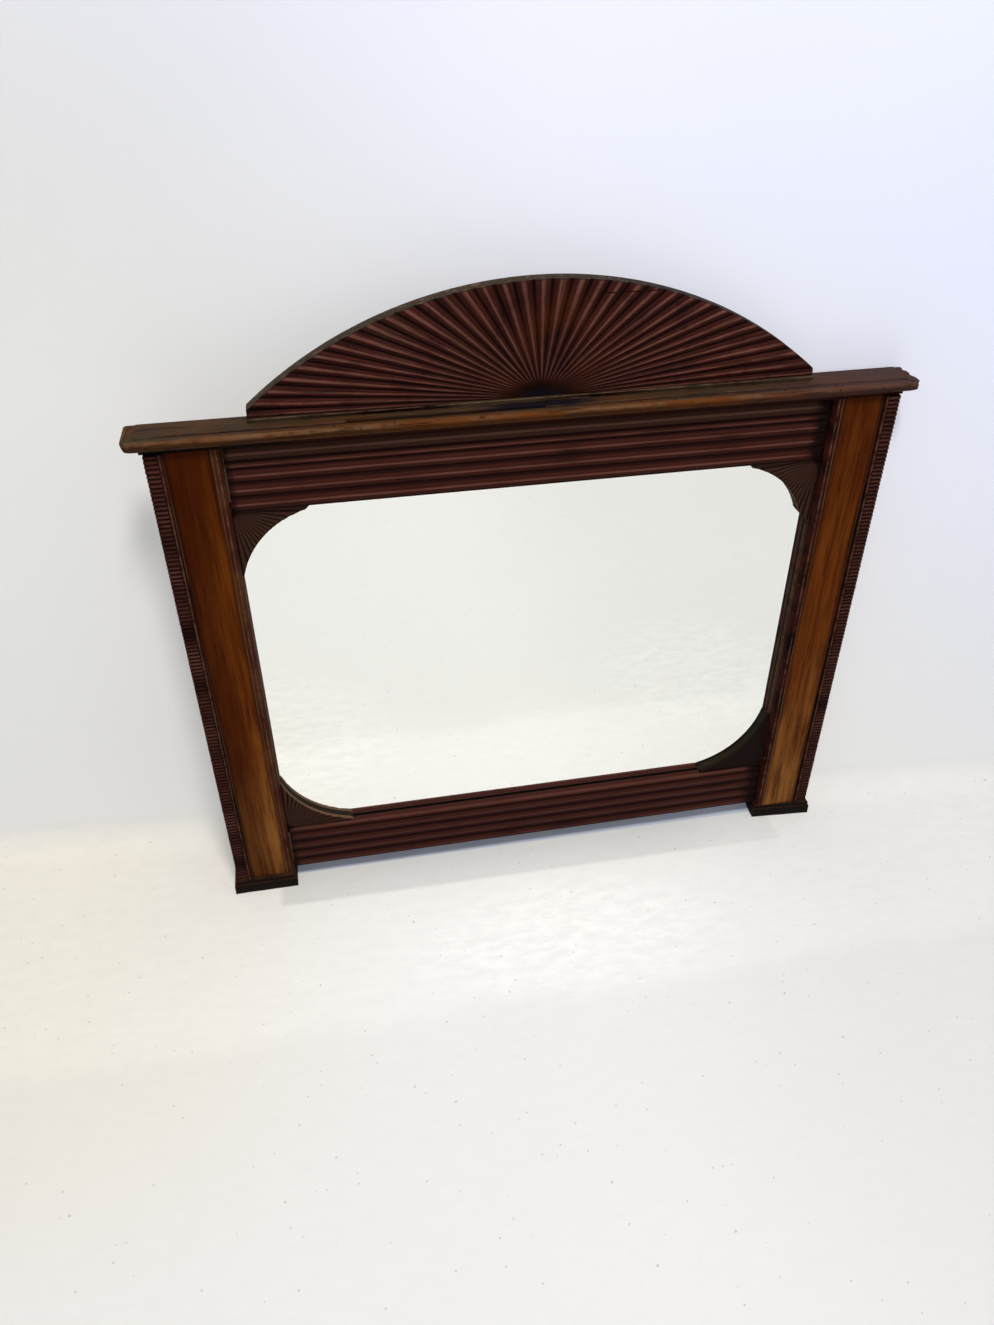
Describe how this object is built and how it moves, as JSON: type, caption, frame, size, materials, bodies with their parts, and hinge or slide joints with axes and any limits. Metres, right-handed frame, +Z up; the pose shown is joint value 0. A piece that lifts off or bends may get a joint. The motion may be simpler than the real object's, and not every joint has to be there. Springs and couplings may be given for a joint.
{
  "type": "overmantel mirror",
  "caption": "Art deco overmantel mirror with reeded rails, carved corner fans, a moulded cornice and a sunburst pediment, standing on two stepped feet.",
  "frame": {"origin": "middle of the footprint, at the level of the floor under the feet", "axes": "+X to the viewer's right across the mirror, +Y from the glass towards the wall, +Z up"},
  "size_m": [1.046, 0.06, 0.959],
  "materials": {
    "dark_wood": "stained dark red-brown, worn on the crests",
    "veneer": "glossy orange-brown veneer",
    "worn_wood": "stained brown, scuffed",
    "olive_wood": "dull grey-brown edge",
    "black_wood": "ebonised, dull",
    "plain_wood": "unfinished softwood",
    "silvered_glass": "silvered on the back",
    "card": "brown card",
    "steel": "plain steel"
  },
  "bodies": {
    "root": {"post_left": "plain_wood", "post_right": "plain_wood", "panel_left": "veneer", "panel_right": "veneer", "ribbed_strip_left": "dark_wood", "ribbed_strip_right": "dark_wood", "bead_left": "dark_wood", "bead_right": "dark_wood", "inner_edge_left": "worn_wood", "inner_edge_right": "worn_wood", "sight_slip_left": "olive_wood", "sight_slip_right": "olive_wood", "sight_fillet_left": "olive_wood", "sight_fillet_right": "olive_wood", "sight_fillet_top": "olive_wood", "sight_fillet_bottom": "olive_wood", "top_rail": "plain_wood", "bottom_rail": "plain_wood", "top_reeding": "dark_wood", "bottom_reeding": "dark_wood", "rail_bead": "worn_wood", "frieze_reed": "dark_wood", "corner_fan_top_left": "dark_wood", "corner_fan_top_right": "dark_wood", "corner_fan_bottom_left": "dark_wood", "corner_fan_bottom_right": "dark_wood", "corner_block_top_left": "olive_wood", "corner_block_top_right": "olive_wood", "corner_block_bottom_left": "olive_wood", "corner_block_bottom_right": "olive_wood", "bed_board": "black_wood", "cornice_board": "worn_wood", "cornice_top_board": "worn_wood", "cornice_nose_front": "worn_wood", "cornice_nose_left": "worn_wood", "cornice_nose_right": "worn_wood", "pediment_fan": "dark_wood", "pediment_fillet": "olive_wood", "foot_left_upper": "black_wood", "foot_left_lower": "black_wood", "foot_right_upper": "black_wood", "foot_right_lower": "black_wood", "mirror_glass": "silvered_glass", "packing_sheet": "card", "backboard_top": "plain_wood", "backboard_middle": "plain_wood", "backboard_bottom": "plain_wood", "glass_wedges": "plain_wood", "backboard_screws": "steel", "cornice_screws": "steel", "foot_screws": "steel", "pediment_dowels": "plain_wood", "hanger_plate_left": "steel", "hanger_plate_right": "steel", "hanger_screws": "steel"}
  },
  "joints": []
}
